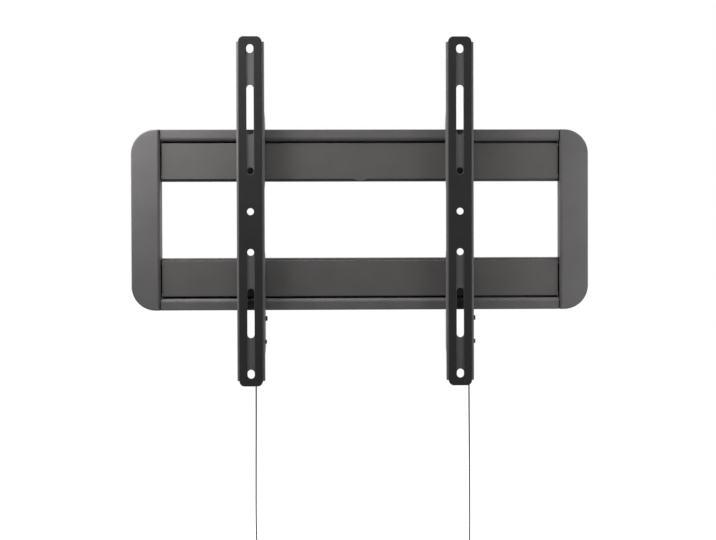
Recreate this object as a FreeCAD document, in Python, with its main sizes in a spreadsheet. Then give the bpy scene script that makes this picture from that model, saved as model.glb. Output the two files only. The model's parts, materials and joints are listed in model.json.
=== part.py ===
import FreeCAD, Part
import math
import os
import Sketcher

# Wall mount for a flat screen: two steel rails with hook lips, two end covers and two screen strips
# that hang on the upper lip, slide sideways and lock under the lower lip with a cord-released latch.
# X runs to the viewer's right, Y into the wall, Z up; the origin is the centre of the wall bolts on the wall.

doc = FreeCAD.newDocument("screen_wall_mount")
Vec = FreeCAD.Vector

# Driving sizes in millimetres
SIZES = {
    "fit_gap": 0.3,
    "pin_play": 0.15,
    # wall frame
    "frame_width": 566.6,
    "frame_height": 224,
    "corner_radius": 30,
    "rail_face": 64.5,
    "rail_sheet": 2.5,
    "rail_depth": 20,
    "lip_height": 14.5,
    "rail_bend": 5,
    "inner_shelf_depth": 14,
    "edge_round": 0.9,
    "wall_bolt_span": 406.4,
    "wall_hole_dia": 9,
    "wall_slot_length": 40,
    "wall_slot_width": 8,
    "wall_slot_pitch": 66,
    # snap-in strips over the rail channels
    "panel_front": 17.5,
    "panel_sheet": 2,
    "panel_groove": 2.5,
    "panel_end_gap": 1.2,
    "panel_leg": 1.5,
    "panel_leg_depth": 10,
    "panel_bead": 4,
    "pry_width": 15,
    "pry_height": 2,
    # end covers and the side plates under them
    "cover_width": 35.9,
    "cover_depth": 23,
    "cover_wall": 2.5,
    "cover_edge": 1.6,
    "cover_draft": 2.8,
    "cover_bevel": 2.2,
    "cover_bevel_depth": 5.5,
    "cover_rib": 1.5,
    "cover_rib_depth": 10,
    "cover_rib_pitch": 66,
    "boss_dia": 8,
    "boss_spacing": 84,
    "pilot_dia": 3,
    "pilot_depth": 11,
    "plate_sheet": 2.5,
    "plate_width": 24,
    "plate_height": 206,
    "plate_corner": 20,
    "plate_reach": 30,
    "plate_tab_height": 38,
    "rivet_dia": 5,
    "rivet_head_dia": 8.5,
    "rivet_head": 2,
    "rivet_spacing": 20,
    "screw_head_dia": 6,
    "screw_head": 1.6,
    "screw_length": 11,
    # screen strips
    "left_strip_x": -135.1,
    "right_strip_x": 122.7,
    "strip_rise": 10.3,
    "strip_width": 34,
    "strip_end": 8.5,
    "strip_sheet": 2,
    "strip_bend": 3,
    "strip_front": 41,
    "flange_depth": 10,
    "hook_depth": 7.6,
    "hook_drop": 10,
    "hook_top": 14,
    "ear_depth": 27,
    "ear_length": 46,
    "ear_inset": 2.5,
    "ear_slope": 8,
    "ear_round": 3,
    "hole_dia": 8.5,
    "hole_step": 50,
    "slot_width": 8.8,
    "slot_length": 61,
    "oblong_length": 10.9,
    # moulded liners on the strips
    "liner_width": 28.6,
    "liner_overhang": 6.5,
    "liner_sheet": 2,
    "liner_corner": 6.3,
    "liner_cap_depth": 8,
    "liner_slot_width": 10,
    "liner_edge": 0.6,
    "peg_dia": 4,
    "peg_length": 3,
    # latch
    "latch_sheet": 2.5,
    "latch_inset": 4,
    "latch_drop": 10,
    "latch_hub_dia": 13,
    "latch_catch": 3.5,
    "latch_nose": 5.5,
    "latch_arm": 13,
    "latch_arm_width": 5,
    "pivot_dia": 4.8,
    "pivot_head_dia": 6.2,
    "pivot_head": 2.6,
    "stop_dia": 4,
    "tab_depth": 6.5,
    "tab_sheet": 2,
    "tab_margin": 2.2,
    "tab_slot_width": 3.4,
    "tab_rise": 2.7,
    # leaf spring
    "spring_sheet": 0.8,
    "spring_width": 7,
    "spring_foot_height": 9,
    "spring_drop": 28.4,
    "spring_rivet_dia": 3.8,
    "spring_rivet_head_dia": 5.8,
    "spring_rivet_dome": 2.3,
    # pull cords
    "cord_dia": 1.7,
    "cord_length": 301,
    "knot_dia": 4.6,
    "knot_play": 0.5,
    "left_cord_offset": 4.4,
    "right_cord_offset": 12.8,
    "knob_dia": 10,
    "knob_length": 26,
    "knob_neck_dia": 4.4,
}

sheet = doc.addObject("Spreadsheet::Sheet", "dims")
for row, (alias, number) in enumerate(SIZES.items(), start=1):
    sheet.set("A%d" % row, alias)
    sheet.set("B%d" % row, str(number))
    sheet.setAlias("B%d" % row, alias)
doc.recompute()


class Size:
    """A length that carries both its number and the sheet formula it comes from."""

    def __init__(self, number, formula):
        self.number = float(number)
        self.formula = formula

    def join(self, sign, other, swap=False):
        other = other if isinstance(other, Size) else Size(other, repr(float(other)))
        left, right = (other, self) if swap else (self, other)
        results = {
            "+": left.number + right.number,
            "-": left.number - right.number,
            "*": left.number * right.number,
            "/": left.number / right.number if right.number else 0.0,
        }
        return Size(results[sign], "(%s %s %s)" % (left.formula, sign, right.formula))

    def __add__(self, other):
        return self.join("+", other)

    def __radd__(self, other):
        return self.join("+", other, swap=True)

    def __sub__(self, other):
        return self.join("-", other)

    def __rsub__(self, other):
        return self.join("-", other, swap=True)

    def __mul__(self, other):
        return self.join("*", other)

    def __rmul__(self, other):
        return self.join("*", other, swap=True)

    def __truediv__(self, other):
        return self.join("/", other)

    def __neg__(self):
        return self.join("-", 0.0, swap=True)


def size(alias):
    return Size(sheet.get(alias), "dims." + alias)


def as_size(value):
    return value if isinstance(value, Size) else Size(value, repr(float(value)))


def bind(target, prop, value):
    target.setExpression(prop, as_size(value).formula)


nodes = []


def new_body(label):
    body = doc.addObject("PartDesign::Body", label)
    body.Label = label
    nodes.append(body)
    return body


def place(body, x=0, y=0, z=0, turn=None):
    if turn:
        body.Placement = FreeCAD.Placement(Vec(0, 0, 0), turn)
    for axis, value in (("x", x), ("y", y), ("z", z)):
        bind(body, "Placement.Base." + axis, value)


HALF_TURN = FreeCAD.Rotation(Vec(0, 1, 0), 180)


def origin_feature(body, role):
    return next(f for f in body.Origin.OriginFeatures if f.Role == role)


def new_sketch(body, name, plane, offset=0):
    sketch = body.newObject("Sketcher::SketchObject", name)
    sketch.AttachmentSupport = [(origin_feature(body, plane), "")]
    sketch.MapMode = "FlatFace"
    bind(sketch, "AttachmentOffset.Base.z", offset)
    return sketch


def hold_point(sketch, geometry, point, u, v):
    for kind, value in (("DistanceX", as_size(u)), ("DistanceY", as_size(v))):
        held = Sketcher.Constraint(kind, -1, 1, geometry, point, value.number)
        bind(sketch, "Constraints[%d]" % sketch.addConstraint(held), value)


def add_loop(sketch, corners):
    """Closed outline of straight lines held by sheet formulas; a third entry rounds a square corner."""
    first = sketch.GeometryCount
    ends = []
    for i, corner in enumerate(corners):
        u, v = as_size(corner[0]), as_size(corner[1])
        if len(corner) == 2:
            ends.append([(u, v)])
            continue
        tangents = []
        for other in (corners[i - 1], corners[(i + 1) % len(corners)]):
            du = as_size(other[0]).number - u.number
            dv = as_size(other[1]).number - v.number
            along_u = abs(du) > abs(dv)
            shift = corner[2] * math.copysign(1, du if along_u else dv)
            tangents.append((u + shift, v) if along_u else (u, v + shift))
        ends.append(tangents)
    runs = []
    for i, corner in enumerate(corners):
        if len(corner) == 3:
            runs.append((ends[i][0], ends[i][1], corner))
        runs.append((ends[i][-1], ends[(i + 1) % len(corners)][0], None))
    for start, end, corner in runs:
        a = Vec(start[0].number, start[1].number, 0)
        b = Vec(end[0].number, end[1].number, 0)
        if corner is None:
            sketch.addGeometry(Part.LineSegment(a, b), False)
            continue
        tip = Vec(as_size(corner[0]).number, as_size(corner[1]).number, 0)
        centre = a + b - tip
        middle = centre + (tip - centre).normalize() * as_size(corner[2]).number
        sketch.addGeometry(Part.Arc(a, middle, b), False)
    points = []
    for i, (start, end, corner) in enumerate(runs):
        flipped = corner is not None and (sketch.Geometry[first + i].StartPoint - Vec(
            start[0].number, start[1].number, 0)).Length > 1e-6
        points.append((2, 1) if flipped else (1, 2))
    for i, (start, end, corner) in enumerate(runs):
        following = (i + 1) % len(runs)
        sketch.addConstraint(Sketcher.Constraint(
            "Coincident", first + i, points[i][1], first + following, points[following][0]))
        hold_point(sketch, first + i, points[i][0], *start)
        if corner is not None:
            held = Sketcher.Constraint("Radius", first + i, as_size(corner[2]).number)
            bind(sketch, "Constraints[%d]" % sketch.addConstraint(held), corner[2])


def add_circle(sketch, u, v, diameter):
    u, v, diameter = as_size(u), as_size(v), as_size(diameter)
    circle = Part.Circle(Vec(u.number, v.number, 0), Vec(0, 0, 1), diameter.number / 2)
    index = sketch.addGeometry(circle, False)
    hold_point(sketch, index, 3, u, v)
    held = Sketcher.Constraint("Diameter", index, diameter.number)
    bind(sketch, "Constraints[%d]" % sketch.addConstraint(held), diameter)


def add_slot(sketch, u, v, length, width, upright=True):
    """Round-ended slot of a given overall length about (u, v)."""
    u, v, length, width = as_size(u), as_size(v), as_size(length), as_size(width)
    reach = (length - width) / 2
    along = Vec(0, reach.number, 0) if upright else Vec(reach.number, 0, 0)
    side = Vec(width.number / 2, 0, 0) if upright else Vec(0, -width.number / 2, 0)
    centre = Vec(u.number, v.number, 0)
    ends = []
    for sign in (1, -1):
        ring = Part.Circle(centre + along * sign, Vec(0, 0, 1), width.number / 2)
        first = 0.0 if upright else -math.pi / 2
        first += 0.0 if sign > 0 else math.pi
        ends.append(sketch.addGeometry(Part.ArcOfCircle(ring, first, first + math.pi), False))
    walls = []
    for sign in (1, -1):
        a = centre + side * sign - along * sign
        b = centre + side * sign + along * sign
        walls.append(sketch.addGeometry(Part.LineSegment(a, b), False))
    joints = ((walls[0], 2, ends[0], 1), (ends[0], 2, walls[1], 1), (walls[1], 2, ends[1], 1), (ends[1], 2, walls[0], 1))
    for joint in joints:
        sketch.addConstraint(Sketcher.Constraint("Tangent", *joint))
    for sign, end in zip((1, -1), ends):
        shift = reach * sign
        hold_point(sketch, end, 3, u if upright else u + shift, v + shift if upright else v)
    held = Sketcher.Constraint("Diameter", ends[0], width.number)
    bind(sketch, "Constraints[%d]" % sketch.addConstraint(held), width)


def pad(body, sketch, length, symmetric=False):
    feature = body.newObject("PartDesign::Pad", sketch.Name + "_pad")
    feature.Profile = sketch
    feature.SideType = "Symmetric" if symmetric else "One side"
    bind(feature, "Length", length)
    body.Tip = feature
    doc.recompute()
    return feature


def pocket(body, sketch, depth=None, forward=False):
    """Cut through everything both ways, or to a depth along the sketch's normal or against it."""
    before = body.Shape.Volume
    feature = body.newObject("PartDesign::Pocket", sketch.Name + "_cut")
    feature.Profile = sketch
    if depth is None:
        feature.SideType = "Symmetric"
        feature.Type = "ThroughAll"
    else:
        bind(feature, "Length", depth)
        feature.Reversed = forward
    body.Tip = feature
    doc.recompute()
    if not body.Shape.Volume < before:
        raise RuntimeError("%s cuts nothing" % feature.Name)
    return feature


def edges_where(shape, test):
    return ["Edge%d" % (i + 1) for i, edge in enumerate(shape.Edges) if test(edge)]


def near(point, **wanted):
    return all(abs(getattr(point, axis) - as_size(value).number) < 0.01 for axis, value in wanted.items())


def long_edges(body, **wanted):
    """Straight edges of the body whose two ends both lie on the given coordinates."""
    return edges_where(body.Tip.Shape, lambda e: len(e.Vertexes) == 2 and all(near(v.Point, **wanted) for v in e.Vertexes))


def round_edges(body, name, names, radius, kind="Fillet"):
    if not names:
        raise RuntimeError("%s finds no edge" % name)
    base = body.Tip
    feature = body.newObject("PartDesign::" + kind, name)
    feature.Base = (base, names)
    bind(feature, "Radius" if kind == "Fillet" else "Size", radius)
    body.Tip = feature
    doc.recompute()
    return feature


def turned(label, profile):
    """Solid of revolution about the body's X axis from (x, radius) corners."""
    body = new_body(label)
    sketch = new_sketch(body, label + "_profile", "XY_Plane")
    add_loop(sketch, profile)
    feature = body.newObject("PartDesign::Revolution", label + "_turn")
    feature.Profile = sketch
    feature.ReferenceAxis = (sketch, ["H_Axis"])
    feature.Angle = 360
    doc.recompute()
    return body


# Shared places of the wall frame
gap = size("fit_gap")
rail_sheet = size("rail_sheet")
frame_half = size("frame_width") / 2
rail_top = size("frame_height") / 2
rail_inner = rail_top - size("rail_face")
channel_floor = rail_inner + rail_sheet
shelf_under = rail_top - size("lip_height")
shelf_over = shelf_under + rail_sheet
lip_front = -size("rail_depth")
lip_back = lip_front + rail_sheet
channel_mid = (channel_floor + shelf_under) / 2
cover_inner = frame_half - size("cover_width")
rail_half = cover_inner - gap
plate_front = -(rail_sheet + size("plate_sheet"))
rivet_x = rail_half - size("plate_reach") / 2
boss_z = size("boss_spacing") / 2
boss_x = cover_inner + size("cover_width") / 2


# Rails: one bent sheet each, with an inner shelf, a wall web, an outer shelf and the hook lip
def build_rail(label, turn=None):
    body = new_body(label)
    profile = new_sketch(body, label + "_profile", "YZ_Plane")
    add_loop(profile, [
        (0, rail_inner),
        (-size("inner_shelf_depth"), rail_inner),
        (-size("inner_shelf_depth"), channel_floor),
        (-rail_sheet, channel_floor),
        (-rail_sheet, shelf_under),
        (lip_front, shelf_under),
        (lip_front, rail_top),
        (lip_back, rail_top),
        (lip_back, shelf_over),
        (0, shelf_over),
    ])
    pad(body, profile, rail_half * 2, symmetric=True)
    round_edges(body, label + "_outer_bend", long_edges(body, y=lip_front, z=shelf_under), size("rail_bend"))
    inner_bend = size("rail_bend") - rail_sheet
    round_edges(body, label + "_inner_bend", long_edges(body, y=lip_back, z=shelf_over), inner_bend)
    soft = [(lip_front, rail_top), (lip_back, rail_top), (-size("inner_shelf_depth"), rail_inner)]
    for i, (y, z) in enumerate(soft):
        round_edges(body, "%s_soft_edge_%d" % (label, i), long_edges(body, y=y, z=z), size("edge_round"))
    holes = new_sketch(body, label + "_holes", "XZ_Plane")
    for side in (-1, 1):
        add_circle(holes, size("wall_bolt_span") * side / 2, channel_mid, size("wall_hole_dia"))
        for step in (-0.5, 0.5):
            z = channel_mid + size("rivet_spacing") * step
            add_circle(holes, rivet_x * side, z, size("rivet_dia") + size("pin_play") * 2)
    pocket(body, holes)
    slots = new_sketch(body, label + "_slots", "XZ_Plane")
    for step in (-2, -1, 0, 1, 2):
        place_x = size("wall_slot_pitch") * step
        add_slot(slots, place_x, channel_mid, size("wall_slot_length"), size("wall_slot_width"), upright=False)
    pocket(body, slots)
    place(body, turn=turn)


build_rail("top_rail")
build_rail("bottom_rail", HALF_TURN)


# Snap-in strips that hide the wall bolts: a face, two legs, a snap bead and a pry tab at the middle
def build_panel(label, turn=None):
    body = new_body(label)
    front = -size("panel_front")
    back = front + size("panel_sheet")
    leg_back = back + size("panel_leg_depth")
    leg = size("panel_leg")
    low = channel_floor + gap
    high = shelf_under - size("panel_groove")
    bead = size("panel_bead")
    upper_leg = high - leg
    bead_top = shelf_under - gap
    profile = new_sketch(body, label + "_profile", "YZ_Plane")
    add_loop(profile, [
        (front, low),
        (leg_back, low),
        (leg_back, low + leg),
        (back, low + leg),
        (back, upper_leg),
        (leg_back, upper_leg),
        (leg_back, high),
        (leg_back - bead / 4, bead_top),
        (leg_back - bead * 3 / 4, bead_top),
        (leg_back - bead, high),
        (front, high),
    ])
    pad(body, profile, (rail_half - size("panel_end_gap")) * 2, symmetric=True)
    names = long_edges(body, y=front, z=low) + long_edges(body, y=front, z=high)
    round_edges(body, label + "_soft_edges", names, size("edge_round"))
    width = size("pry_width")
    rise = size("pry_height")
    bulge = width * width / (rise * 4) + rise
    pry = new_sketch(body, label + "_pry", "XZ_Plane", -back)
    add_circle(pry, 0, low - rise + bulge / 2, bulge)
    pad(body, pry, size("panel_sheet"))
    place(body, turn=turn)


build_panel("top_cover_strip")
build_panel("bottom_cover_strip", HALF_TURN)


# End covers: moulded shells with round outer corners, ribs, screw bosses and notches for the plate tabs
def build_cover(label, turn=None):
    body = new_body(label)
    wall = size("cover_wall")
    depth = size("cover_depth")
    outer = new_sketch(body, label + "_outline", "XZ_Plane")
    add_loop(outer, [
        (-frame_half, -rail_top, size("corner_radius")),
        (-cover_inner, -rail_top),
        (-cover_inner, rail_top),
        (-frame_half, rail_top, size("corner_radius")),
    ])
    pad(body, outer, depth)
    draft = size("cover_draft")
    slope = new_sketch(body, label + "_slope", "XY_Plane")
    add_loop(slope, [
        (-cover_inner, 0),
        (-cover_inner - draft + size("cover_bevel"), -depth + size("cover_bevel_depth")),
        (-cover_inner - draft, -depth),
        (-cover_inner + draft, -depth),
        (-cover_inner + draft, 0),
    ])
    pocket(body, slope)
    rim = edges_where(body.Tip.Shape, lambda e: all(near(v.Point, y=-depth) for v in e.Vertexes))
    round_edges(body, label + "_front_round", rim, size("cover_edge"))
    inside = new_sketch(body, label + "_inside", "XZ_Plane")
    inner_radius = size("corner_radius") - wall
    add_loop(inside, [
        (-frame_half + wall, -rail_top + wall, inner_radius),
        (-cover_inner - draft - wall, -rail_top + wall),
        (-cover_inner - draft - wall, rail_top - wall),
        (-frame_half + wall, rail_top - wall, inner_radius),
    ])
    pocket(body, inside, depth - wall, forward=True)
    ribs = new_sketch(body, label + "_ribs", "XZ_Plane", depth - size("cover_rib_depth"))
    rib = size("cover_rib") / 2
    for step in (-1, 0, 1):
        z = size("cover_rib_pitch") * step
        left = -frame_half + wall / 2
        right = -cover_inner - draft - wall / 2
        add_loop(ribs, [(left, z - rib), (right, z - rib), (right, z + rib), (left, z + rib)])
    pad(body, ribs, size("cover_rib_depth") - wall / 2)
    bosses = new_sketch(body, label + "_bosses", "XZ_Plane", -plate_front)
    for sign in (-1, 1):
        add_circle(bosses, -boss_x, boss_z * sign, size("boss_dia"))
    pad(body, bosses, depth + plate_front - wall / 2)
    pilots = new_sketch(body, label + "_pilots", "XZ_Plane", -plate_front)
    for sign in (-1, 1):
        add_circle(pilots, -boss_x, boss_z * sign, size("pilot_dia"))
    pocket(body, pilots, size("pilot_depth"), forward=True)
    notches = new_sketch(body, label + "_notches", "XZ_Plane")
    tab_half = size("plate_tab_height") / 2 + gap * 2
    for sign in (-1, 1):
        low = channel_mid * sign - tab_half
        high = channel_mid * sign + tab_half
        left = -cover_inner - draft - wall * 2
        right = -cover_inner + wall
        add_loop(notches, [(left, low), (right, low), (right, high), (left, high)])
    pocket(body, notches, gap - plate_front, forward=True)
    place(body, turn=turn)


build_cover("left_end_cover")
build_cover("right_end_cover", HALF_TURN)


# Side plates: flat steel that ties the two rails together under each end cover
def build_side_plate(label, turn=None):
    body = new_body(label)
    bar_inner = -cover_inner - size("cover_draft") - size("cover_wall") - gap * 2
    bar_outer = bar_inner - size("plate_width")
    tab_end = -rail_half + size("plate_reach")
    tab_low = channel_mid - size("plate_tab_height") / 2
    tab_high = channel_mid + size("plate_tab_height") / 2
    plate_top = size("plate_height") / 2
    outline = new_sketch(body, label + "_outline", "XZ_Plane", rail_sheet)
    add_loop(outline, [
        (bar_outer, -plate_top, size("plate_corner")),
        (bar_inner, -plate_top),
        (bar_inner, -tab_high),
        (tab_end, -tab_high),
        (tab_end, -tab_low),
        (bar_inner, -tab_low),
        (bar_inner, tab_low),
        (tab_end, tab_low),
        (tab_end, tab_high),
        (bar_inner, tab_high),
        (bar_inner, plate_top),
        (bar_outer, plate_top, size("plate_corner")),
    ])
    pad(body, outline, size("plate_sheet"))
    holes = new_sketch(body, label + "_holes", "XZ_Plane")
    for sign in (-1, 1):
        for step in (-0.5, 0.5):
            z = channel_mid * sign + size("rivet_spacing") * step
            add_circle(holes, -rivet_x, z, size("rivet_dia") + size("pin_play") * 2)
        add_circle(holes, -boss_x, boss_z * sign, size("pilot_dia") + size("pin_play") * 2)
    pocket(body, holes)
    place(body, turn=turn)


build_side_plate("left_side_plate")
build_side_plate("right_side_plate", HALF_TURN)


# Fasteners of the frame: one group of identical rivets and one of identical screws
def fastener_group(label, stages, spots):
    """Stepped round pins along Y; each stage is (diameter, start y, end y)."""
    solids = []
    for x, z in spots:
        pin = None
        for diameter, start, end in stages:
            stage = Part.makeCylinder(diameter / 2, end - start, Vec(x, start, z), Vec(0, 1, 0))
            pin = stage if pin is None else pin.fuse(stage).removeSplitter()
        solids.append(pin)
    group = doc.addObject("Part::Feature", label)
    group.Label = label
    group.Shape = Part.makeCompound([solid.Solids[0] for solid in solids])
    nodes.append(group)


rivet_spots = []
screw_spots = []
for side in (-1, 1):
    for level in (-1, 1):
        screw_spots.append((boss_x.number * side, boss_z.number * level))
        for step in (-0.5, 0.5):
            rivet_z = channel_mid.number * level + sheet.rivet_spacing * step
            rivet_spots.append((rivet_x.number * side, rivet_z))

plate_back = -rail_sheet.number
fastener_group("side_plate_rivets", [
    (sheet.rivet_head_dia, plate_front.number - sheet.rivet_head, plate_front.number),
    (sheet.rivet_dia, plate_front.number - sheet.rivet_head / 2, -sheet.fit_gap),
], rivet_spots)
fastener_group("cover_screws", [
    (sheet.screw_head_dia, plate_back, plate_back + sheet.screw_head),
    (sheet.pilot_dia - sheet.pin_play, plate_front.number - sheet.screw_length + sheet.plate_sheet, plate_back + sheet.screw_head / 2),
], screw_spots)

# Shared places of a screen strip, about its own middle in x and the frame's middle in z
strip_half = size("strip_width") / 2
flange_in = strip_half - size("strip_sheet")
web_front = -size("strip_front")
web_back = web_front + size("strip_sheet")
shallow = web_front + size("flange_depth")
ear_on_lip = lip_front - gap
hook_in = lip_back + gap * 2
hook_rear = hook_in + size("hook_depth")
lower_lip = -rail_top
pivot_y = lip_front - size("latch_inset")
pivot_z = lower_lip - size("latch_drop")
spring_z = pivot_z - size("spring_drop")
strip_mid = size("strip_rise")
strip_reach = size("hole_step") * 4 + size("strip_end")
latch_out = flange_in - gap
latch_in = latch_out - size("latch_sheet")
arm_front = pivot_y - size("latch_arm_width") / 2
arm_back = pivot_y + size("latch_arm_width") / 2
arm_end = pivot_z - size("latch_arm")
spring_face = arm_front - gap
spring_front = spring_face - size("spring_sheet")
spring_rivet_y = spring_front - size("spring_foot_height") / 2
ear_floor = lower_lip - gap * 3
ear_rear = web_front + size("ear_depth")


# Strip channel: bent sheet whose flanges carry the hooks, the ears along the lips and the latch ear
def build_channel(label, x):
    body = new_body(label)
    section = new_sketch(body, label + "_section", "XY_Plane", strip_mid - strip_reach)
    add_loop(section, [
        (-strip_half, hook_rear),
        (-strip_half, web_front),
        (strip_half, web_front),
        (strip_half, hook_rear),
        (flange_in, hook_rear),
        (flange_in, web_back),
        (-flange_in, web_back),
        (-flange_in, hook_rear),
    ])
    pad(body, section, strip_reach * 2)
    for name, bend_x, bend_y, radius in (
        ("outer", strip_half, web_front, size("strip_bend")),
        ("inner", flange_in, web_back, size("strip_bend") - size("strip_sheet")),
    ):
        bends = long_edges(body, x=-bend_x, y=bend_y) + long_edges(body, x=bend_x, y=bend_y)
        round_edges(body, "%s_%s_bends" % (label, name), bends, radius)
    slope = size("ear_slope")
    ear_top = rail_inner - size("ear_inset")
    beyond = hook_rear + 1
    strip_low = strip_mid - strip_reach - 1
    strip_high = strip_mid + strip_reach + 1
    hook_seat = rail_top + gap
    hook_high = hook_seat + size("hook_top")
    flank = new_sketch(body, label + "_flank", "YZ_Plane")
    add_loop(flank, [
        (beyond, strip_low),
        (shallow, strip_low),
        (shallow, ear_floor - size("ear_length") - slope),
        (ear_rear, ear_floor - size("ear_length")),
        (ear_rear, ear_floor),
        (ear_on_lip, ear_floor),
        (ear_on_lip, -ear_top),
        (shallow, -ear_top + slope),
        (shallow, ear_top - slope),
        (ear_on_lip, ear_top),
        (ear_on_lip, hook_seat),
        (hook_in, hook_seat),
        (hook_in, rail_top - size("hook_drop")),
        (beyond, rail_top - size("hook_drop")),
    ])
    add_loop(flank, [
        (beyond, hook_high - slope),
        (hook_rear, hook_high - slope),
        (hook_rear - slope, hook_high),
        (shallow, hook_high + slope),
        (shallow, strip_high),
        (beyond, strip_high),
    ])
    pocket(body, flank)
    rounded = []
    for y, z in (
        (ear_rear, ear_floor - size("ear_length")),
        (ear_rear, ear_floor),
        (ear_on_lip, ear_top),
        (ear_on_lip, -ear_top),
        (hook_rear, rail_top - size("hook_drop")),
        (hook_rear, hook_high - slope),
    ):
        rounded += long_edges(body, y=y, z=z)
    round_edges(body, label + "_ear_rounds", rounded, size("ear_round"))
    step = size("hole_step")
    holes = new_sketch(body, label + "_holes", "XZ_Plane")
    for i in (-1, 0, 1):
        add_circle(holes, 0, strip_mid + step * i, size("hole_dia"))
    for i in (-1, 1):
        add_circle(holes, 0, strip_mid + step * i / 2, size("peg_dia") + size("pin_play") * 2)
        add_slot(holes, 0, strip_mid + step * i * 2.5, size("slot_length"), size("slot_width"))
        add_slot(holes, 0, strip_mid + step * i * 4, size("oblong_length"), size("slot_width"))
    pocket(body, holes)
    pins = new_sketch(body, label + "_pin_holes", "YZ_Plane")
    add_circle(pins, pivot_y, pivot_z, size("pivot_dia") + size("pin_play"))
    add_circle(pins, spring_rivet_y, spring_z, size("spring_rivet_dia") + size("pin_play"))
    pocket(body, pins, strip_half + 1, forward=True)
    stop = new_sketch(body, label + "_stop", "YZ_Plane", latch_in)
    add_circle(stop, arm_back + gap + size("stop_dia") / 2, arm_end + size("latch_arm_width") / 2, size("stop_dia"))
    pad(body, stop, flange_in - latch_in + size("strip_sheet") / 2)
    place(body, x=x)


# Liner: black moulding on the strip's face, with two long slots, end caps and two pegs
def build_liner(label, x):
    body = new_body(label)
    half_width = size("liner_width") / 2
    half_length = strip_reach + size("liner_overhang")
    low = strip_mid - half_length
    high = strip_mid + half_length
    thick = size("liner_sheet") + size("liner_cap_depth")
    face = new_sketch(body, label + "_face", "XZ_Plane", -web_front - size("liner_cap_depth"))
    corner = size("liner_corner")
    add_loop(face, [
        (-half_width, low, corner),
        (half_width, low, corner),
        (half_width, high, corner),
        (-half_width, high, corner),
    ])
    pad(body, face, thick)
    rim_y = web_front - size("liner_sheet")
    rim = edges_where(body.Tip.Shape, lambda e: all(near(v.Point, y=rim_y) for v in e.Vertexes))
    round_edges(body, label + "_rim", rim, size("liner_edge"), "Chamfer")
    seat = new_sketch(body, label + "_seat", "XZ_Plane", -web_front - size("liner_cap_depth"))
    reach = strip_reach + gap
    seat_low = strip_mid - reach
    seat_high = strip_mid + reach
    add_loop(seat, [
        (-strip_half, seat_low),
        (strip_half, seat_low),
        (strip_half, seat_high),
        (-strip_half, seat_high),
    ])
    pocket(body, seat, size("liner_cap_depth"), forward=True)
    step = size("hole_step")
    slot_end = size("oblong_length") / 2 + gap
    slot_low = step - size("liner_slot_width") / 2
    slot_high = step * 4 + slot_end
    slots = new_sketch(body, label + "_slots", "XZ_Plane")
    for sign in (-1, 1):
        middle = strip_mid + (slot_low + slot_high) / 2 * sign
        add_slot(slots, 0, middle, slot_high - slot_low, size("liner_slot_width"))
    add_circle(slots, 0, strip_mid, size("hole_dia") + gap)
    pocket(body, slots)
    pegs = new_sketch(body, label + "_pegs", "XZ_Plane", -web_front - size("peg_length"))
    for sign in (-1, 1):
        add_circle(pegs, 0, strip_mid + step * sign / 2, size("peg_dia"))
    pad(body, pegs, size("peg_length") + size("liner_sheet") / 2)
    place(body, x=x)


# Latch lever: hub, self-latching nose behind the lower lip, spring arm and a slotted tab for the cord
tab_top = lower_lip + size("tab_rise")
tab_front = hook_in + size("latch_nose") - gap
tab_rear = tab_front + size("tab_depth")
tab_mid = (tab_front + tab_rear) / 2


def build_lever(label, x):
    body = new_body(label)
    nose_back = hook_in + size("latch_nose")
    hub = size("latch_hub_dia") / 2
    nose_top = lower_lip + size("latch_catch")
    arm_top = lower_lip - gap * 4
    plate = new_sketch(body, label + "_plate", "YZ_Plane", latch_in)
    add_loop(plate, [
        (arm_front, pivot_z),
        (arm_front, arm_top - gap),
        (hook_in, arm_top),
        (hook_in, nose_top),
        (hook_in + size("latch_nose") * 0.3, nose_top),
        (nose_back, tab_top),
        (nose_back, tab_top - size("tab_sheet")),
        (arm_back + hub, pivot_z + size("latch_arm_width") / 2),
        (arm_back, pivot_z - hub),
        (arm_back, arm_end),
        (arm_front, arm_end),
    ])
    pad(body, plate, size("latch_sheet"))
    disc = new_sketch(body, label + "_hub", "YZ_Plane", latch_in)
    add_circle(disc, pivot_y, pivot_z, size("latch_hub_dia"))
    pad(body, disc, size("latch_sheet"))
    inner_cord = size("left_cord_offset")
    outer_cord = size("right_cord_offset")
    play = size("tab_slot_width")
    foot = new_sketch(body, label + "_tab", "YZ_Plane", inner_cord - play / 2 - size("tab_margin"))
    tab_under = tab_top - size("tab_sheet")
    add_loop(foot, [(tab_front, tab_under), (tab_rear, tab_under), (tab_rear, tab_top), (tab_front, tab_top)])
    pad(body, foot, outer_cord - inner_cord + play + size("tab_margin") * 2)
    bore = new_sketch(body, label + "_bore", "YZ_Plane")
    add_circle(bore, pivot_y, pivot_z, size("pivot_dia") + size("pin_play") * 2)
    pocket(body, bore)
    slot = new_sketch(body, label + "_slot", "XY_Plane")
    add_slot(slot, (inner_cord + outer_cord) / 2, tab_mid, outer_cord - inner_cord + play, play, upright=False)
    pocket(body, slot)
    place(body, x=x)


# Pins turned about X: a flat-headed pivot with an upset end and a domed rivet for the spring
def build_pivot(label, x):
    shaft = size("pivot_dia") / 2
    head = size("pivot_head_dia") / 2
    inner = latch_in - gap
    body = turned(label, [
        (inner - 1, 0),
        (inner - 1, head * 0.8),
        (inner, head),
        (inner, shaft),
        (strip_half, shaft),
        (strip_half, head),
        (strip_half + size("pivot_head") * 0.8, head),
        (strip_half + size("pivot_head"), head * 0.85),
        (strip_half + size("pivot_head"), 0),
    ])
    place(body, x=x, y=pivot_y, z=pivot_z)


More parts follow.
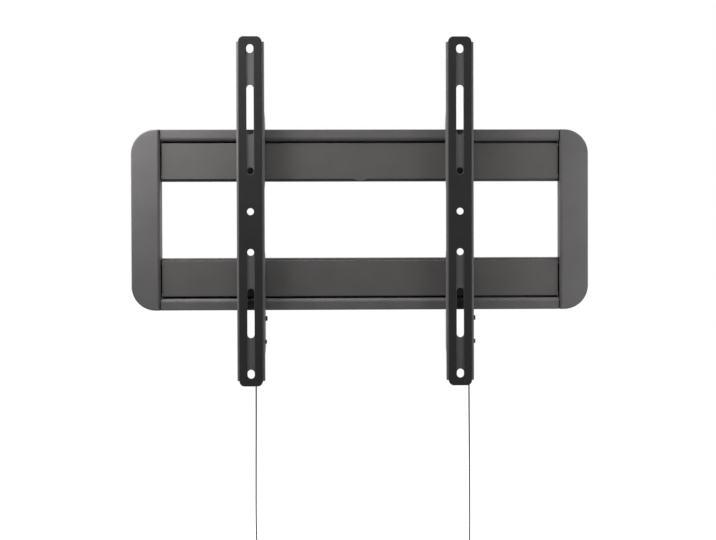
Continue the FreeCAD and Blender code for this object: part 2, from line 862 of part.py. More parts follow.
def build_spring_rivet(label, x):
    shaft = size("spring_rivet_dia") / 2
    head = size("spring_rivet_head_dia") / 2
    dome = size("spring_rivet_dome")
    foot = flange_in - size("spring_sheet")
    body = turned(label, [
        (foot - size("spring_sheet"), 0),
        (foot - size("spring_sheet"), head * 0.8),
        (foot, head * 0.9),
        (foot, shaft),
        (strip_half, shaft),
        (strip_half, head),
        (strip_half + dome * 0.5, head * 0.97),
        (strip_half + dome * 0.8, head * 0.82),
        (strip_half + dome * 0.95, head * 0.55),
        (strip_half + dome, 0),
    ])
    place(body, x=x, y=spring_rivet_y, z=spring_z)


# Leaf spring: a riveted foot on the flange, bent square into a blade that pushes the lever's arm
def build_spring(label, x):
    body = new_body(label)
    foot_half = size("spring_foot_height") / 2
    foot = new_sketch(body, label + "_foot", "YZ_Plane", flange_in - size("spring_sheet"))
    low = spring_z - foot_half
    high = spring_z + foot_half
    add_loop(foot, [
        (spring_front - size("spring_foot_height"), low),
        (spring_face, low),
        (spring_face, high),
        (spring_front - size("spring_foot_height"), high),
    ])
    pad(body, foot, size("spring_sheet"))
    blade = new_sketch(body, label + "_blade", "YZ_Plane", flange_in - size("spring_width"))
    tip = arm_end + size("latch_arm_width") / 2
    add_loop(blade, [
        (spring_front, low),
        (spring_face, low),
        (spring_face, tip),
        (spring_front, tip + size("spring_sheet")),
    ])
    pad(body, blade, size("spring_width"))
    hole = new_sketch(body, label + "_hole", "YZ_Plane")
    add_circle(hole, spring_rivet_y, spring_z, size("spring_rivet_dia") + size("pin_play"))
    pocket(body, hole, strip_half, forward=True)
    place(body, x=x)


# Pull cord: a straight tube with a knot on the lever's tab, and a small bell-shaped knob at its end
def build_cord(label, x, offset):
    cord_x = x + offset
    run = doc.addObject("Part::Cylinder", label + "_run")
    bind(run, "Radius", size("cord_dia") / 2)
    bind(run, "Height", size("cord_length"))
    bind(run, "Placement.Base.z", -size("cord_length"))
    knot = doc.addObject("Part::Sphere", label + "_knot")
    bind(knot, "Radius", size("knot_dia") / 2)
    cord = doc.addObject("Part::Fuse", label)
    cord.Label = label
    cord.Base = run
    cord.Tool = knot
    knot_z = tab_top + size("knot_dia") / 2 + size("knot_play")
    place(cord, x=cord_x, y=tab_mid, z=knot_z)
    nodes.append(cord)
    return cord_x, knot_z - size("cord_length")


def build_knob(label, x, z):
    length = size("knob_length")
    wide = size("knob_dia") / 2
    neck = size("knob_neck_dia") / 2
    body = turned(label, [
        (0, 0),
        (0, neck),
        (length * 0.12, neck * 1.2),
        (length * 0.4, (neck + wide) / 2),
        (length * 0.7, wide),
        (length * 0.9, wide),
        (length, wide * 0.7),
        (length, 0),
    ])
    place(body, x=x, y=tab_mid, z=z, turn=FreeCAD.Rotation(Vec(0, 1, 0), 90))


for side_name in ("left", "right"):
    strip_x = size(side_name + "_strip_x")
    build_channel(side_name + "_strip_channel", strip_x)
    build_liner(side_name + "_strip_liner", strip_x)
    build_lever(side_name + "_latch_lever", strip_x)
    build_pivot(side_name + "_latch_pivot", strip_x)
    build_spring(side_name + "_leaf_spring", strip_x)
    build_spring_rivet(side_name + "_spring_rivet", strip_x)
    knob_x, knob_z = build_cord(side_name + "_pull_cord", strip_x, size(side_name + "_cord_offset"))
    build_knob(side_name + "_pull_knob", knob_x, knob_z)

doc.recompute()
for item in doc.Objects:
    if "Invalid" in item.State or "Error" in item.State:
        raise RuntimeError("%s did not build: %s" % (item.Label, item.State))

os.makedirs("parts", exist_ok=True)
for node in nodes:
    shape = node.Shape
    if shape.isNull() or not shape.isValid():
        raise RuntimeError("%s has no sound shape" % node.Label)
    shape.exportStep("parts/%s.step" % node.Label)
    box = shape.BoundBox
    print("%-20s %2d solids %10.1f mm3  x %.1f..%.1f  y %.1f..%.1f  z %.1f..%.1f" % (
        node.Label, len(shape.Solids), shape.Volume, box.XMin, box.XMax, box.YMin, box.YMax, box.ZMin, box.ZMax))
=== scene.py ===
import bpy
import json
import math
import numpy as np
from mathutils import Matrix, Vector


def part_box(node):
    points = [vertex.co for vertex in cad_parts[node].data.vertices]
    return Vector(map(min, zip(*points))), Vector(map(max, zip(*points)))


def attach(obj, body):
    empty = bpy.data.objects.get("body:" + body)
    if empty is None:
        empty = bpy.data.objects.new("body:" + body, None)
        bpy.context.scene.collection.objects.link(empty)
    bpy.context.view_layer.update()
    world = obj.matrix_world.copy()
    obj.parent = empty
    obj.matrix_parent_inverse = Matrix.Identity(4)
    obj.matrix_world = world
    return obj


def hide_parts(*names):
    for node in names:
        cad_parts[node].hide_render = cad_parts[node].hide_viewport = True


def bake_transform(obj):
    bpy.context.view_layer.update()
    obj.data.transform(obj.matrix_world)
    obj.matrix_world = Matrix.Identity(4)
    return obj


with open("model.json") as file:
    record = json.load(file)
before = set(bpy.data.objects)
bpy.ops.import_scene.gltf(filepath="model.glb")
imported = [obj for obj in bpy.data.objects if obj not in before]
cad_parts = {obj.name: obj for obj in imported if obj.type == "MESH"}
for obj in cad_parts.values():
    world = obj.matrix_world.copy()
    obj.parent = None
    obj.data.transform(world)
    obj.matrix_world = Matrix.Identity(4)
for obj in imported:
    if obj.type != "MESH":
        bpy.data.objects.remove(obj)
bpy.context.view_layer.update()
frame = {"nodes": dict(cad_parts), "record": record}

nodes = frame["nodes"]
scene = bpy.context.scene
scene.view_settings.view_transform = "Standard"
print("frame loaded:", len(nodes), "nodes")

# camera fitted to the photograph: place in metres, turns in degrees
cameraSet = {
    "place": (0.0052, -2.302, 0.0129),
    "yaw": 2.042,                   # towards +X
    "pitch": -1.204,
    "roll": -0.137,
    "focalPixels": 1835.5,
    "shiftPixels": (72.3, -22.3),   # the photograph is a crop, so its axis is off the middle
    "imageWidth": 716,
    "sensor": 36.0,                 # millimetres
    "farthest": 50,
}


def makeCamera(s):
    data = bpy.data.cameras.new("photoCamera")
    data.sensor_width = s["sensor"]
    data.lens = s["focalPixels"] / s["imageWidth"] * s["sensor"]
    data.shift_x = -s["shiftPixels"][0] / s["imageWidth"]
    data.shift_y = s["shiftPixels"][1] / s["imageWidth"]
    data.clip_end = s["farthest"]
    camera = bpy.data.objects.new("photoCamera", data)
    scene.collection.objects.link(camera)
    yaw, pitch, roll = (math.radians(s[k]) for k in ("yaw", "pitch", "roll"))
    tipped = Matrix.Rotation(math.pi / 2 + pitch, 4, "X")
    look = Matrix.Rotation(-yaw, 4, "Z") @ tipped @ Matrix.Rotation(roll, 4, "Z")
    camera.matrix_world = Matrix.Translation(s["place"]) @ look
    scene.camera = camera


makeCamera(cameraSet)


# a socket with arithmetic, so that shader maths reads as an expression
class Wire:
    def __init__(self, tree, socket):
        self.tree = tree
        self.socket = socket

    def math(self, operation, a, b):
        node = self.tree.nodes.new("ShaderNodeMath")
        node.operation = operation
        for i, value in enumerate((a, b)):
            if isinstance(value, Wire):
                self.tree.links.new(value.socket, node.inputs[i])
            else:
                node.inputs[i].default_value = value
        return Wire(self.tree, node.outputs[0])

    def __add__(self, other):
        return self.math("ADD", self, other)

    def __sub__(self, other):
        return self.math("SUBTRACT", self, other)

    def __mul__(self, other):
        return self.math("MULTIPLY", self, other)

    def __rsub__(self, other):
        return self.math("SUBTRACT", other, self)

    __radd__ = __add__
    __rmul__ = __mul__

    # the same value, held between 0 and 1
    def clamped(self):
        held = self.math("MULTIPLY", self, 1.0)
        held.socket.node.use_clamp = True
        return held


edgeSamples = 4     # rays that round an edge in the shading


# the nodes of one material, or of the world
class Finish:
    def __init__(self, owner):
        self.owner = owner
        owner.use_nodes = True
        self.tree = owner.node_tree
        self.tree.nodes.clear()

    # any node: its type, its settings first, then its sockets' values or links
    # a socket goes by its name, with _ for a blank, or by its number as i0, i1 and so on
    def node(self, kind, out=0, settings=None, **sockets):
        node = self.tree.nodes.new("ShaderNode" + kind)
        for key, value in (settings or {}).items():
            setattr(node, key, value)
        for key, value in sockets.items():
            numbered = key[0] == "i" and key[1:].isdigit()
            socket = node.inputs[int(key[1:]) if numbered else key.replace("_", " ")]
            if isinstance(value, Wire):
                self.tree.links.new(value.socket, socket)
            else:
                socket.default_value = value
        return Wire(self.tree, node.outputs[out])

    def objectPoint(self):
        return self.node("TexCoord", out="Object")

    def noise(self, scale, detail, point=None):
        return self.node("TexNoise", Vector=point or self.objectPoint(), Scale=scale, Detail=detail)

    def vectorMaths(self, operation, a, b, out=0):
        return self.node("VectorMath", out=out, settings={"operation": operation}, i0=a, i1=b)

    def blendColour(self, factor, a, b):
        return self.node("Mix", out=2, settings={"data_type": "RGBA"}, i0=factor, i6=a, i7=b)

    # the surface's direction with its edges rounded
    def softEdge(self, radius):
        return self.node("Bevel", settings={"samples": edgeSamples}, Radius=radius)

    # 1 for a ray that shows a surface to the eye, directly, in a reflection or through glass
    def seen(self):
        kinds = ("Camera", "Glossy", "Transmission")
        direct, mirrored, through = (self.node("LightPath", out="Is %s Ray" % kind) for kind in kinds)
        return (direct + mirrored + through).clamped()

    def finish(self, shader):
        kind = "World" if isinstance(self.owner, bpy.types.World) else "Material"
        out = self.tree.nodes.new("ShaderNodeOutput" + kind)
        self.tree.links.new(shader.socket, out.inputs["Surface"])
        return self.owner


def grey(value, tint=(1.0, 1.0, 1.0)):
    return tuple(value * t for t in tint) + (1.0,)


# coats and mouldings: dark and light end the mottling, worn is the colour of rubbed edges
# scales are per metre, depths and radii in metres
coatSets = {
    "powder_coat": {
        "dark": 0.104, "light": 0.134, "worn": 0.24, "tint": (1.0, 0.965, 0.965), "wear": 0.5,
        "metal": 0.0, "specular": 0.1, "rough": 0.42, "roughSpread": 0.1,
        "cloudScale": 40, "peelScale": 1900, "bump": 0.3, "bumpDepth": 0.0002, "edgeRadius": 0.0005},
    "grey_moulding": {
        "dark": 0.096, "light": 0.12, "worn": 0.22, "tint": (1.0, 0.965, 0.945), "wear": 0.4,
        "metal": 0.0, "specular": 0.1, "rough": 0.45, "roughSpread": 0.1,
        "cloudScale": 30, "peelScale": 2300, "bump": 0.25, "bumpDepth": 0.00016, "edgeRadius": 0.0007},
    "black_moulding": {
        "dark": 0.013, "light": 0.02, "worn": 0.05, "tint": (1.0, 1.0, 1.0), "wear": 0.5,
        "metal": 0.0, "specular": 0.16, "rough": 0.55, "roughSpread": 0.12,
        "cloudScale": 60, "peelScale": 2600, "bump": 0.3, "bumpDepth": 0.00015, "edgeRadius": 0.0006},
    "black_steel": {
        "dark": 0.012, "light": 0.02, "worn": 0.12, "tint": (1.0, 1.0, 1.0), "wear": 0.5,
        "metal": 0.3, "specular": 0.4, "rough": 0.38, "roughSpread": 0.1,
        "cloudScale": 120, "peelScale": 3000, "bump": 0.08, "bumpDepth": 0.0001, "edgeRadius": 0.0003},
}
# the end covers' copy of the grey moulding, painted lighter and less blue: painted light that brightens the
# covers
coatSets["cover_moulding_painted_lighter"] = {
    **coatSets["grey_moulding"], "dark": 0.104, "light": 0.13, "tint": (1.0, 0.965, 0.97)}
mottleSet = {
    "cloudDetail": 4.0, "cloudShare": 0.6, "peelDetail": 2.0, "peelShare": 0.4,
    "cut": 0.25, "gain": 2.0}        # what is taken off the noise, and how much the rest is raised
rubSet = {"patchGain": 1.6, "patchCut": 0.2, "polish": 0.1}     # wear comes in patches and is a little smoother


# coated and moulded surfaces: mottled base, fine peel in the bump, softened edges worn a little lighter
def coatFinish(name, s, mottle=mottleSet, rub=rubSet):
    f = Finish(bpy.data.materials.new(name))
    cloud = f.noise(s["cloudScale"], mottle["cloudDetail"])
    peel = f.noise(s["peelScale"], mottle["peelDetail"])
    soft = f.softEdge(s["edgeRadius"])
    facing = f.vectorMaths("DOT_PRODUCT", soft, f.node("NewGeometry", out="Normal"), out="Value")
    wear = ((1.0 - facing) * s["wear"] * (cloud * rub["patchGain"] - rub["patchCut"])).clamped()
    shade = (cloud * mottle["cloudShare"] + peel * mottle["peelShare"] - mottle["cut"]) * mottle["gain"]
    colour = f.blendColour(shade.clamped(), grey(s["dark"], s["tint"]), grey(s["light"], s["tint"]))
    colour = f.blendColour(wear, colour, grey(s["worn"], s["tint"]))
    rough = s["rough"] + (cloud - 0.5) * s["roughSpread"] - wear * rub["polish"]
    bump = f.node("Bump", Strength=s["bump"], Distance=s["bumpDepth"], Height=peel, Normal=soft)
    return f.finish(f.node("BsdfPrincipled", Base_Color=colour, Roughness=rough.clamped(), Normal=bump,
                           Metallic=s["metal"], Specular_IOR_Level=s["specular"]))


metalSets = {
    "zinc_steel": {
        "dark": 0.4, "light": 0.58, "tint": (1.0, 1.0, 1.01), "rough": 0.36, "roughSpread": 0.2,
        "crystalScale": 700, "lineScale": (900, 900, 900), "lineShare": 0.4, "lineDetail": 3.0,
        "bump": 0.08, "bumpDepth": 0.0001, "edgeRadius": 0.0003},
    "spring_steel": {
        "dark": 0.27, "light": 0.44, "tint": (1.0, 0.99, 0.97), "rough": 0.28, "roughSpread": 0.16,
        "crystalScale": 300, "lineScale": (6000, 6000, 90), "lineShare": 0.9, "lineDetail": 3.0,
        "bump": 0.1, "bumpDepth": 0.0001, "edgeRadius": 0.0003},
}


# bare metal: drawn lines and zinc crystals in its brightness and roughness
def metalFinish(name, s):
    f = Finish(bpy.data.materials.new(name))
    stretched = f.node("Mapping", Vector=f.objectPoint(), Scale=s["lineScale"])
    line = f.noise(1.0, s["lineDetail"], point=stretched)
    cell = f.node("TexVoronoi", out="Color", Vector=f.objectPoint(), Scale=s["crystalScale"])
    crystal = f.node("SeparateColor", i0=cell)
    shade = (line * s["lineShare"] + crystal * (1 - s["lineShare"])).clamped()
    colour = f.blendColour(shade, grey(s["dark"], s["tint"]), grey(s["light"], s["tint"]))
    rough = s["rough"] + (shade - 0.5) * s["roughSpread"]
    soft = f.softEdge(s["edgeRadius"])
    bump = f.node("Bump", Strength=s["bump"], Distance=s["bumpDepth"], Height=line, Normal=soft)
    return f.finish(f.node("BsdfPrincipled", Base_Color=colour, Roughness=rough, Normal=bump, Metallic=1.0))


fibreSet = {
    "dark": 0.012, "light": 0.05, "rough": 0.75, "roughSpread": 0.2, "specular": 0.3,
    "strandScale": 560, "strandWander": 0.8, "strandDetail": 1.0, "strandShare": 0.7,
    "fluffScale": 5000, "fluffDetail": 3.0, "fluffShare": 0.6, "cut": 0.15,
    "bump": 0.5, "bumpDepth": 0.0002,
}


# twisted fibre: slanting strands with fluff between them
def fibreFinish(name, s):
    f = Finish(bpy.data.materials.new(name))
    strand = f.node("TexWave", out=1, settings={"wave_type": "BANDS", "bands_direction": "DIAGONAL"},
                    Vector=f.objectPoint(), Scale=s["strandScale"], Distortion=s["strandWander"],
                    Detail=s["strandDetail"])
    fluff = f.noise(s["fluffScale"], s["fluffDetail"])
    shade = (strand * s["strandShare"] + fluff * s["fluffShare"] - s["cut"]).clamped()
    colour = f.blendColour(shade, grey(s["dark"]), grey(s["light"]))
    bump = f.node("Bump", Strength=s["bump"], Distance=s["bumpDepth"], Height=strand)
    return f.finish(f.node("BsdfPrincipled", Base_Color=colour, Roughness=s["rough"] + fluff * s["roughSpread"],
                           Normal=bump, Specular_IOR_Level=s["specular"]))


finishes = {name: coatFinish(name, s) for name, s in coatSets.items()}
finishes.update({name: metalFinish(name, s) for name, s in metalSets.items()})
finishes["cord_fibre"] = fibreFinish("cord_fibre", fibreSet)
slotOf = {sub["node"]: sub["material_slot"] for sub in frame["record"]["subparts"]}
for name, obj in nodes.items():
    obj.data.materials.clear()
    # the end covers take the lighter copy of the moulding, which paints light onto them
    obj.data.materials.append(finishes["cover_moulding_painted_lighter" if name.endswith("end_cover") else slotOf[name]])
print("finishes set:", len(finishes))


# puts a grid of points with its faces and end caps in the scene, smooth shaded
def addPiece(name, points, faces, finish, caps=()):
    mesh = bpy.data.meshes.new(name)
    polygons = faces.reshape(-1, 4).tolist() + [cap.tolist() for cap in caps]
    mesh.from_pydata(points.reshape(-1, 3).tolist(), [], polygons)
    mesh.polygons.foreach_set("use_smooth", np.ones(len(mesh.polygons), dtype=bool))
    mesh.materials.append(finishes[finish])
    piece = bpy.data.objects.new(name, mesh)
    scene.collection.objects.link(piece)
    return piece


# the faces of a grid of points, rows by columns, each way closed on itself where asked
def gridFaces(rows, columns, closeRows=False, closeColumns=False):
    i, j = np.meshgrid(np.arange(rows if closeRows else rows - 1),
                       np.arange(columns if closeColumns else columns - 1), indexing="ij")
    nextI, nextJ = (i + 1) % rows, (j + 1) % columns
    corners = (i * columns + j, nextI * columns + j, nextI * columns + nextJ, i * columns + nextJ)
    return np.stack(corners, axis=-1)


# angles once round, the last one short of the first
def roundAngles(count):
    return np.linspace(0, 2 * np.pi, count, endpoint=False)


# lengths in metres
knotSet = {"reach": 0.00148, "rise": 0.0009, "strand": 0.0008, "steps": 72, "sides": 12}


# an overhand knot drawn tight: a round strand along the closed line
# (sin t + 2 sin 2t, cos t - 2 cos 2t, -sin 3t), scaled to the knot's size
def makeKnot(side, place, s):
    t = roundAngles(s["steps"])
    line = np.column_stack([(np.sin(t) + 2 * np.sin(2 * t)) / 3 * s["reach"],
                            (np.cos(t) - 2 * np.cos(2 * t)) / 3 * s["reach"],
                            -np.sin(3 * t) * s["rise"]])
    along = np.roll(line, -1, axis=0) - np.roll(line, 1, axis=0)
    along /= np.linalg.norm(along, axis=1, keepdims=True)
    out = np.cross(along, (0.0, 0.0, 1.0))
    out /= np.linalg.norm(out, axis=1, keepdims=True)
    up = np.cross(out, along)
    a = roundAngles(s["sides"])
    ring = out[:, None] * np.cos(a)[None, :, None] + up[:, None] * np.sin(a)[None, :, None]
    points = np.asarray(place) + line[:, None] + ring * s["strand"]
    knot = addPiece(side + "CordKnot", points, gridFaces(s["steps"], s["sides"], True, True), "cord_fibre")
    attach(knot, side + "_cord")
    return knot


# lengths in metres, but for what is a share of the knob's height from its top
knobSet = {
    "neck": 0.0022, "wide": 0.005,                                      # radii
    "swellFrom": 0.03, "swellOver": 0.66,                               # shares
    "endFrom": 0.84, "endOver": 0.16, "endNarrowing": 0.62,             # shares
    "grooves": (0.60, 0.67, 0.74), "grooveWidth": 0.009,                # shares
    "grooveDepth": 0.00022,
    "bore": 0.00095, "boreDepth": 0.002, "boreMouth": 0.0002, "rim": 0.0003,
    "baseOuter": 0.93, "baseInner": 0.1,                                # parts of the lower end's radius
    "boreRows": 4, "rows": 150, "baseRows": 8, "sides": 40,
}


# the pull knob, turned about the cord: the radius swells from neck to belly along a smooth step, with narrow
# rings cut in, an elliptic lower end and a short bore at the top
def makeKnob(side, s):
    low, high = (np.array(v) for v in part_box(side + "_pull_knob"))
    drop = np.linspace(0, 1, s["rows"])
    swell = np.clip((drop - s["swellFrom"]) / s["swellOver"], 0, 1)
    radius = s["neck"] + (s["wide"] - s["neck"]) * swell ** 2 * (3 - 2 * swell)
    ending = np.clip((drop - s["endFrom"]) / s["endOver"], 0, 1)
    radius *= np.sqrt(1 - s["endNarrowing"] * ending ** 2)
    ringCuts = sum(np.exp(-((drop - place) / s["grooveWidth"]) ** 2) for place in s["grooves"])
    radius -= s["grooveDepth"] * ringCuts
    depth = drop * (high[2] - low[2])
    top = np.linspace(s["bore"], s["neck"] - s["rim"], s["boreRows"])
    base = radius[-1] * np.linspace(s["baseOuter"], s["baseInner"], s["baseRows"])
    radius = np.concatenate([np.full(s["boreRows"], s["bore"]), top, radius[1:], base])
    inBore = np.linspace(s["boreDepth"], s["boreMouth"], s["boreRows"])
    depth = np.concatenate([inBore, np.zeros(s["boreRows"]), depth[1:], np.full(s["baseRows"], depth[-1])])
    around = roundAngles(s["sides"])
    points = np.stack([np.outer(radius, np.cos(around)) + (low[0] + high[0]) / 2,
                       np.outer(radius, np.sin(around)) + (low[1] + high[1]) / 2,
                       np.repeat(high[2] - depth[:, None], s["sides"], axis=1)], axis=-1)
    ring = np.arange(s["sides"])
    caps = (ring, (len(radius) - 1) * s["sides"] + ring[::-1])
    faces = gridFaces(len(radius), s["sides"], False, True)
    knob = addPiece(side + "PullKnob", points, faces, "black_moulding", caps)
    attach(knob, side + "_cord")
    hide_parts(side + "_pull_knob")
    return knob


# pull cords, from the knot on the lever's tab down to the knob, in metres
# bow: share of the drop and sideways drift of each point of the route
cordSet = {
    "diameter": 0.0017,
    "roundness": 4,
    "knotDrop": 0.0023,     # the knot's middle below the top of the CAD cord
    "bow": {
        "left": ((0.0, 0.0), (0.05, 0.0), (0.22, -0.0001), (0.45, -0.0003),
                 (0.7, -0.0008), (0.88, -0.001), (0.96, -0.0006), (1.0, 0.0)),
        "right": ((0.0, -0.0004), (0.05, -0.0004), (0.22, -0.0005), (0.4, -0.0004),
                  (0.6, 0.0), (0.85, 0.0002), (0.97, 0.0001), (1.0, 0.0)),
    },
}


def makeCord(side, s):
    low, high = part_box(side + "_pull_cord")
    x, y = (low[0] + high[0]) / 2, (low[1] + high[1]) / 2
    start, end = high[2] - s["knotDrop"], low[2]
    bow = s["bow"][side]
    knot = makeKnot(side, (x, y, start), knotSet)
    data = bpy.data.curves.new(side + "PullCord", "CURVE")
    data.dimensions = "3D"
    data.bevel_depth = s["diameter"] / 2
    data.bevel_resolution = s["roundness"]
    spline = data.splines.new("NURBS")
    spline.points.add(len(bow) - 1)
    for point, (share, drift) in zip(spline.points, bow):
        point.co = (x + drift, y, start + (end - start) * share, 1.0)
    spline.order_u = 3
    spline.use_endpoint_u = True
    cord = bpy.data.objects.new(side + "PullCord", data)
    scene.collection.objects.link(cord)
    data.materials.append(finishes["cord_fibre"])
    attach(cord, side + "_cord")
    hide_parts(side + "_pull_cord")
    x + bow[0][1]
    abs(end - start)
    makeKnob(side, knobSet)


for side in ("left", "right"):
    makeCord(side, cordSet)
print("cords hung")

# leaf springs, in metres: a foot riveted flat on the flange, bent square into a blade that pushes the lever
springSet = {
    "sheet": 0.0008,
    "bend": 0.0014,             # radius at the sheet's middle
    "footWidth": 0.009,
    "inset": 0.0002,            # free edges stay this far inside the CAD spring's box
    "bladeTaper": 0.22,         # share by which the tip is narrower
    "tipCurl": 0.0009,
    "curlFrom": 0.0035,         # below the tip
    "tipHold": 0.001,           # length at the tip that stays with the lever
    "edge": 0.00015,
    "edgeSegments": 2,
    "footSteps": 12, "bendSteps": 8, "bladeSteps": 10, "rows": 56,
}


# the sheet's outline seen from above is an L with a rounded corner, carried upwards; above the foot only the
# blade goes on, narrowing towards a tip that curls away from the arm
def makeSpring(side, s):
    low, high = (np.array(v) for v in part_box(side + "_leaf_spring"))
    half = s["sheet"] / 2
    flat, back = high[0] - half, high[1] - half
    footEnd, bladeEnd = low[1] + s["inset"], low[0] + s["inset"]
    turn = np.linspace(0, np.pi / 2, s["bendSteps"] + 1)
    corner = np.column_stack([flat - s["bend"] + s["bend"] * np.cos(turn),
                              back - s["bend"] + s["bend"] * np.sin(turn)])
    foot = np.column_stack([np.full(s["footSteps"], flat),
                            np.linspace(footEnd, corner[0, 1], s["footSteps"] + 1)[:-1]])
    blade = np.column_stack([np.linspace(corner[-1, 0], bladeEnd, s["bladeSteps"] + 1)[1:],
                             np.full(s["bladeSteps"], back)])
    plan = np.concatenate([foot, corner, blade])
    level = np.linspace(low[2] + s["inset"], high[2] - s["inset"], s["rows"])
    columns = len(plan)
    points = np.empty((s["rows"], columns, 3))
    points[..., :2] = plan
    points[..., 2] = level[:, None]
    footTop = low[2] + s["footWidth"]
    climb = np.clip((level - footTop) / (level[-1] - footTop), 0, 1)[:, None]
    middle = (flat + bladeEnd) / 2
    points[..., 0] += (middle - points[..., 0]) * climb * s["bladeTaper"]
    curl = np.clip((level - level[-1] + s["curlFrom"]) / s["curlFrom"], 0, 1)[:, None] ** 2
    points[..., 1] -= curl * s["tipCurl"]
    faces = gridFaces(s["rows"], columns)
    keep = np.ones(faces.shape[:2], dtype=bool)
    footSide = np.arange(columns - 1) < s["footSteps"] + s["bendSteps"] // 2     # up to the middle of the bend
    keep[np.ix_(level[:-1] > footTop, footSide)] = False
    spring = addPiece(side + "LeafSpring", points, faces[keep], "spring_steel")
    sheet = spring.data
    thick = spring.modifiers.new("sheet", "SOLIDIFY")
    thick.thickness = s["sheet"]
    thick.offset = 0.0
    rounded = spring.modifiers.new("edges", "BEVEL")
    rounded.width = s["edge"]
    rounded.segments = s["edgeSegments"]
    rounded.limit_method = "ANGLE"
    # the modifiers are made final, so that the mesh's own points carry the sheet's thickness and rounded edges
    depsgraph = bpy.context.evaluated_depsgraph_get()
    solid = bpy.data.meshes.new_from_object(spring.evaluated_get(depsgraph))
    spring.modifiers.clear()
    spring.data = solid
    bpy.data.meshes.remove(sheet)
    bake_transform(spring)
    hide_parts(side + "_leaf_spring")


for side in ("left", "right"):
    makeSpring(side, springSet)
print("leaf springs bent")

# locating tongues on the end covers, in metres: they reach in behind the ends of the rails' lips and close the
# view past them; root and tip are distances from the middle of the mount
tongueSet = {
    "root": 0.249, "tip": 0.2436, "nose": 0.0016, "noseNarrowing": 0.25, "noseStart": 0.02,
    "y": (-0.0174, -0.0146), "z": (0.1006, 0.1114),
    "square": 8,                # power of the section's rounded square
    "rows": 16, "rowSpread": 1.5,       # rows come closer together at the tip
    "sides": 48,
}


# a section y, z = middle + half * sign(cos a, sin a) * |cos a, sin a| ** (2 / square), carried along X and
# drawn in towards its tip along a quarter ellipse
def makeTongues(side, s):
    out = {"left": -1, "right": 1}[side]
    a = roundAngles(s["sides"])
    curve = [np.sign(v) * np.abs(v) ** (2 / s["square"]) for v in (np.cos(a), np.sin(a))]
    reach = s["tip"] + (s["root"] - s["tip"]) * np.linspace(0, 1, s["rows"]) ** s["rowSpread"]
    x = np.sort(out * reach)[::-1]
    fromTip = np.clip((np.abs(x) - s["tip"]) / s["nose"], s["noseStart"], 1)
    shrink = 1 - s["noseNarrowing"] * (1 - np.sqrt(1 - (1 - fromTip) ** 2))
    depth, height = ((s[k][1] - s[k][0]) / 2 for k in ("y", "z"))
    points, faces, caps = [], [], []
    ring = np.arange(s["sides"])
    for up in (1, -1):
        middle = up * (s["z"][0] + s["z"][1]) / 2
        start = len(points) * s["rows"] * s["sides"]
        points.append(np.stack([np.repeat(x[:, None], s["sides"], axis=1),
                                np.outer(shrink, curve[0] * depth) + sum(s["y"]) / 2,
                                np.outer(shrink, curve[1] * height) + middle], axis=-1))
        faces.append(gridFaces(s["rows"], s["sides"], False, True).reshape(-1, 4) + start)
        caps += [start + ring, start + (s["rows"] - 1) * s["sides"] + ring[::-1]]
    # the tongues take the end covers' lighter copy of the moulding, with its painted light
    tongues = addPiece(side + "CoverTongues", np.stack(points), np.concatenate(faces), "cover_moulding_painted_lighter", caps)
    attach(tongues, "wall_frame")


for side in ("left", "right"):
    makeTongues(side, tongueSet)
print("cover tongues in place")

# a round pale floor, painted a little darker in an ellipse under the object, where the lamps' real shadow falls
# too, and white further out, in metres
stageSet = {
    "floorZ": -0.46, "radius": 6.0, "rings": 24, "ringSpread": 1.6, "spokes": 96,
    "floorGrey": 0.5,
    "shadowMiddle": (0.0, -0.03),
    "shadowReach": 0.34, "shadowCore": 0.3,     # the core is a share of the reach
    "shadowWidth": 1.7,                         # how much wider than deep
    "shadowFloor": 0.35,                        # the floor's own glow in the core
}


# pale to every ray, and white on top of that to rays that show it, less so in an ellipse under the object:
# painted shade there, on top of the real shadow
def floorFinish(s):
    f = Finish(bpy.data.materials.new("studioWhite"))
    seen = f.seen()
    drawn = f.vectorMaths("MULTIPLY", f.objectPoint(), (1 / s["shadowWidth"], 1.0, 1.0))
    away = f.vectorMaths("DISTANCE", drawn, (*s["shadowMiddle"], s["floorZ"]), out="Value")
    # the glow is lower towards the ellipse's core: a painted shade under the object, there with or without a
    # lamp's shadow
    clear = f.node("MapRange", settings={"interpolation_type": "SMOOTHSTEP"}, Value=away,
                   From_Min=s["shadowReach"] * s["shadowCore"], From_Max=s["shadowReach"],
                   To_Min=s["shadowFloor"], To_Max=1.0)
    dark = f.node("Emission", Color=grey(0.0), Strength=0.0)
    white = f.node("Emission", Color=grey(1.0), Strength=1.0)
    glow = f.node("MixShader", i0=seen * clear, i1=dark, i2=white)
    plain = f.node("BsdfDiffuse", Color=grey(s["floorGrey"]))
    return f.finish(f.node("AddShader", i0=plain, i1=glow))


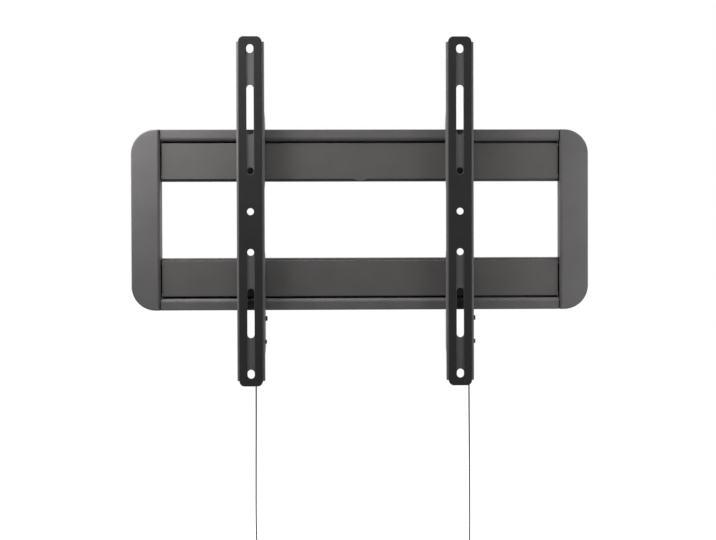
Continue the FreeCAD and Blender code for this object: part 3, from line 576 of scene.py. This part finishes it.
# a disc: angle round it by distance from its middle, rings closer together near the middle
def makeFloor(s):
    around = roundAngles(s["spokes"])
    out = s["radius"] * np.linspace(0, 1, s["rings"] + 1)[1:] ** s["ringSpread"]
    ring = np.stack([np.outer(out, np.cos(around)), np.outer(out, np.sin(around))], axis=-1).reshape(-1, 2)
    points = np.concatenate([[[0.0, 0.0]], ring])
    points = np.column_stack([points, np.full(len(points), s["floorZ"])])
    quads = 1 + gridFaces(s["rings"], s["spokes"], False, True).reshape(-1, 4)
    k = np.arange(s["spokes"])
    fan = np.stack([np.zeros_like(k), 1 + k, 1 + (k + 1) % s["spokes"]], axis=1)
    mesh = bpy.data.meshes.new("studioFloor")
    mesh.from_pydata(points.tolist(), [], quads.tolist() + fan.tolist())
    mesh.materials.append(floorFinish(s))
    floor = bpy.data.objects.new("studioFloor", mesh)
    scene.collection.objects.link(floor)


makeFloor(stageSet)

# square area lamps: place, aim and side in metres, power in watts
lampSets = {
    "topLeftLamp": {"place": (-0.2, -0.2, 0.65), "aim": (-0.07, 0, 0), "side": 0.35, "power": 3.0},
    "topLamp": {"place": (0.1, -0.15, 0.7), "aim": (0.035, 0, 0), "side": 0.35, "power": 2.3},
    "leftLamp": {"place": (-0.45, -0.14, 0.27), "aim": (-0.16, 0, 0), "side": 0.35, "power": 3.7},
    "rightLamp": {"place": (0.5, -0.2, 0.0), "aim": (0.17, 0, 0), "side": 0.35, "power": 1.4},
    "frontLamp": {"place": (-0.1, -0.9, 0.9), "aim": (-0.03, 0, 0), "side": 0.35, "power": 1.4},
    "rearLamp": {"place": (0.6, 1.1, 0.8), "aim": (0, 0, 0), "side": 0.8, "power": 10},
}


def makeLamp(name, s):
    data = bpy.data.lights.new(name, "AREA")
    data.shape = "SQUARE"
    data.size = s["side"]
    data.energy = s["power"]
    lamp = bpy.data.objects.new(name, data)
    lamp.location = s["place"]
    lamp.rotation_euler = (Vector(s["aim"]) - Vector(s["place"])).to_track_quat("-Z", "Y").to_euler()
    lamp.visible_camera = False
    scene.collection.objects.link(lamp)


for name, s in lampSets.items():
    makeLamp(name, s)

# the world is white to the eye and in reflections, and a faint even light otherwise
worldSet = {"seen": 1.0, "light": 0.02}


def makeWorld(s):
    w = Finish(bpy.data.worlds.new("studioWorld"))
    strength = w.seen() * (s["seen"] - s["light"]) + s["light"]
    scene.world = w.finish(w.node("Background", Color=grey(1.0), Strength=strength))


makeWorld(worldSet)
print("stage lit")
